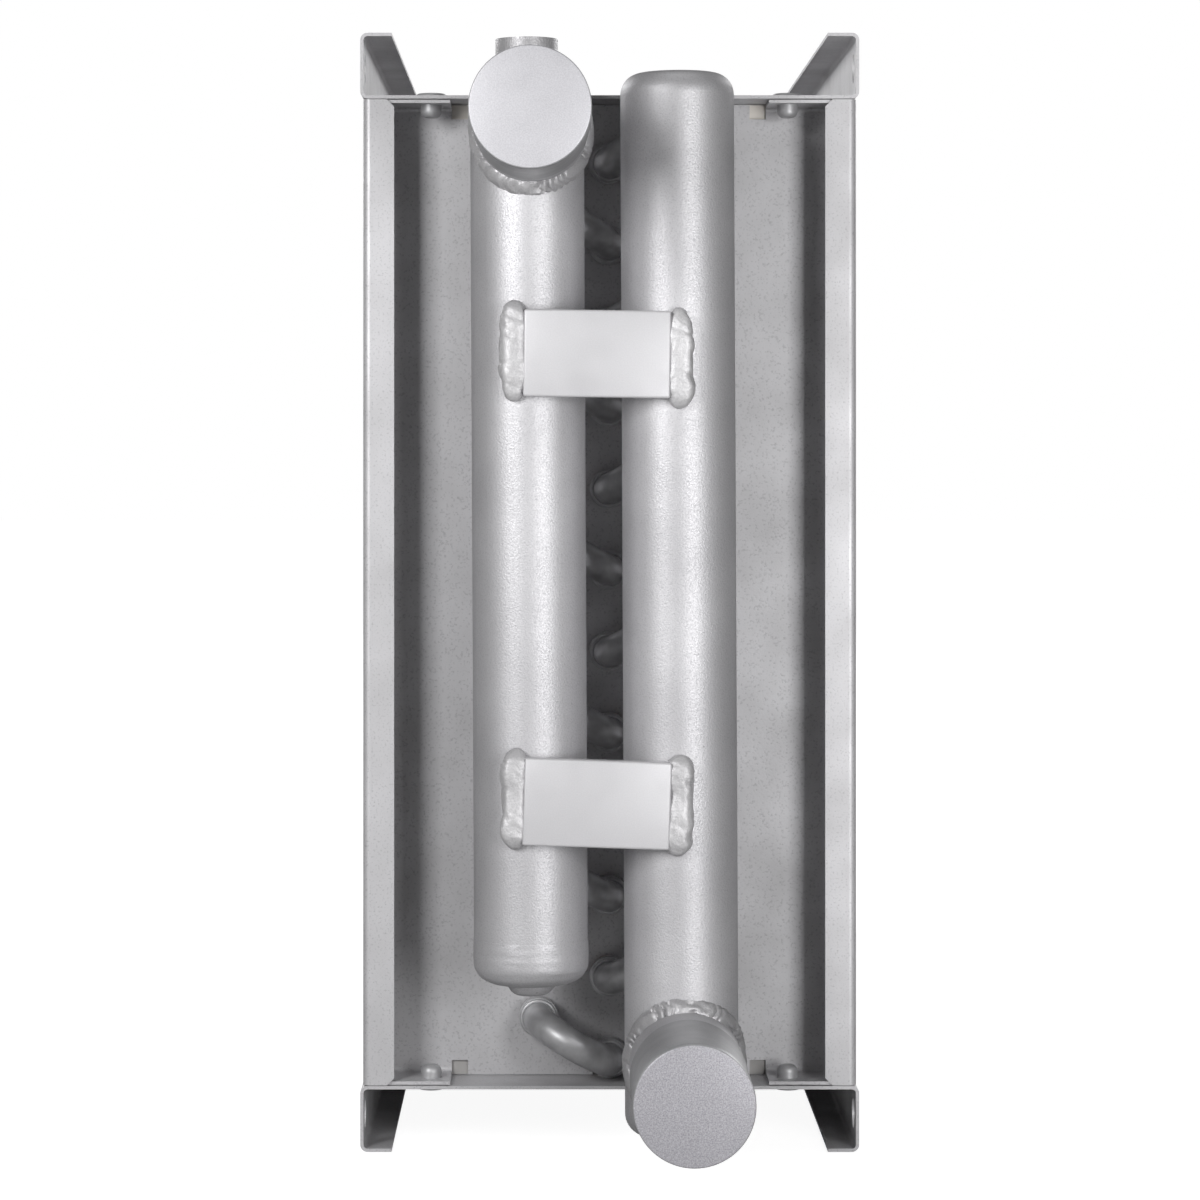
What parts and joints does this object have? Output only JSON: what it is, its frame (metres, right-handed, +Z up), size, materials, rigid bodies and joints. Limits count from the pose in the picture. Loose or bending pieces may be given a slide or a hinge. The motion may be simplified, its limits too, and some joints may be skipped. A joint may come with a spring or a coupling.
{
  "type": "duct water heating coil",
  "caption": "Rectangular duct water heating coil: flanged sheet casing, finned tube block, return bends, two headers with threaded connections and spacer bars.",
  "frame": {"origin": "middle of the inlet flange face, between its four corner holes", "axes": "+X the way the air goes through the duct, +Y away from the side with the water connections, along the tubes, +Z up"},
  "size_m": [0.1516, 0.6446, 0.34],
  "materials": {
    "galvanised_sheet": "galvanised, dull, with fine dark specks",
    "rivet_steel": "satin zinc plate",
    "fin_aluminium": "mill",
    "copper_tube": "drawn copper, slightly dulled",
    "painted_copper": "thin silver overspray",
    "silver_paint": "satin silver spray paint with fine orange peel",
    "painted_cap": "satin silver spray paint, finely mottled"
  },
  "bodies": {
    "root": {"bottom_panel": "galvanised_sheet", "casing_rivets": "rivet_steel", "connection_side_panel": "galvanised_sheet", "far_side_panel": "galvanised_sheet", "fin_pack": "fin_aluminium", "hairpin_row1_1": "copper_tube", "hairpin_row1_2": "copper_tube", "hairpin_row1_3": "copper_tube", "hairpin_row1_4": "copper_tube", "hairpin_row1_5": "copper_tube", "hairpin_row1_6": "copper_tube", "hairpin_row2_1": "copper_tube", "hairpin_row2_2": "copper_tube", "hairpin_row2_3": "copper_tube", "hairpin_row2_4": "copper_tube", "hairpin_row2_5": "copper_tube", "hairpin_row2_6": "copper_tube", "hairpin_row3_1": "copper_tube", "hairpin_row3_2": "copper_tube", "hairpin_row3_3": "copper_tube", "hairpin_row3_4": "copper_tube", "hairpin_row3_5": "copper_tube", "hairpin_row3_6": "copper_tube", "lower_spacer_bar": "silver_paint", "return_bend_01": "painted_copper", "return_bend_02": "painted_copper", "return_bend_03": "painted_copper", "return_bend_04": "painted_copper", "return_bend_05": "painted_copper", "return_bend_06": "painted_copper", "return_bend_07": "painted_copper", "return_bend_08": "painted_copper", "return_bend_09": "painted_copper", "return_bend_10": "painted_copper", "return_bend_11": "painted_copper", "return_bend_12": "painted_copper", "return_cap": "painted_cap", "return_header": "silver_paint", "return_nipple": "silver_paint", "return_stub_1": "painted_copper", "return_stub_2": "painted_copper", "return_stub_3": "painted_copper", "return_stub_4": "painted_copper", "return_stub_5": "painted_copper", "return_stub_6": "painted_copper", "supply_cap": "painted_cap", "supply_header": "silver_paint", "supply_nipple": "silver_paint", "supply_stub_1": "painted_copper", "supply_stub_2": "painted_copper", "supply_stub_3": "painted_copper", "supply_stub_4": "painted_copper", "supply_stub_5": "painted_copper", "supply_stub_6": "painted_copper", "top_panel": "galvanised_sheet", "upper_spacer_bar": "silver_paint", "vent_socket": "silver_paint"}
  },
  "joints": []
}
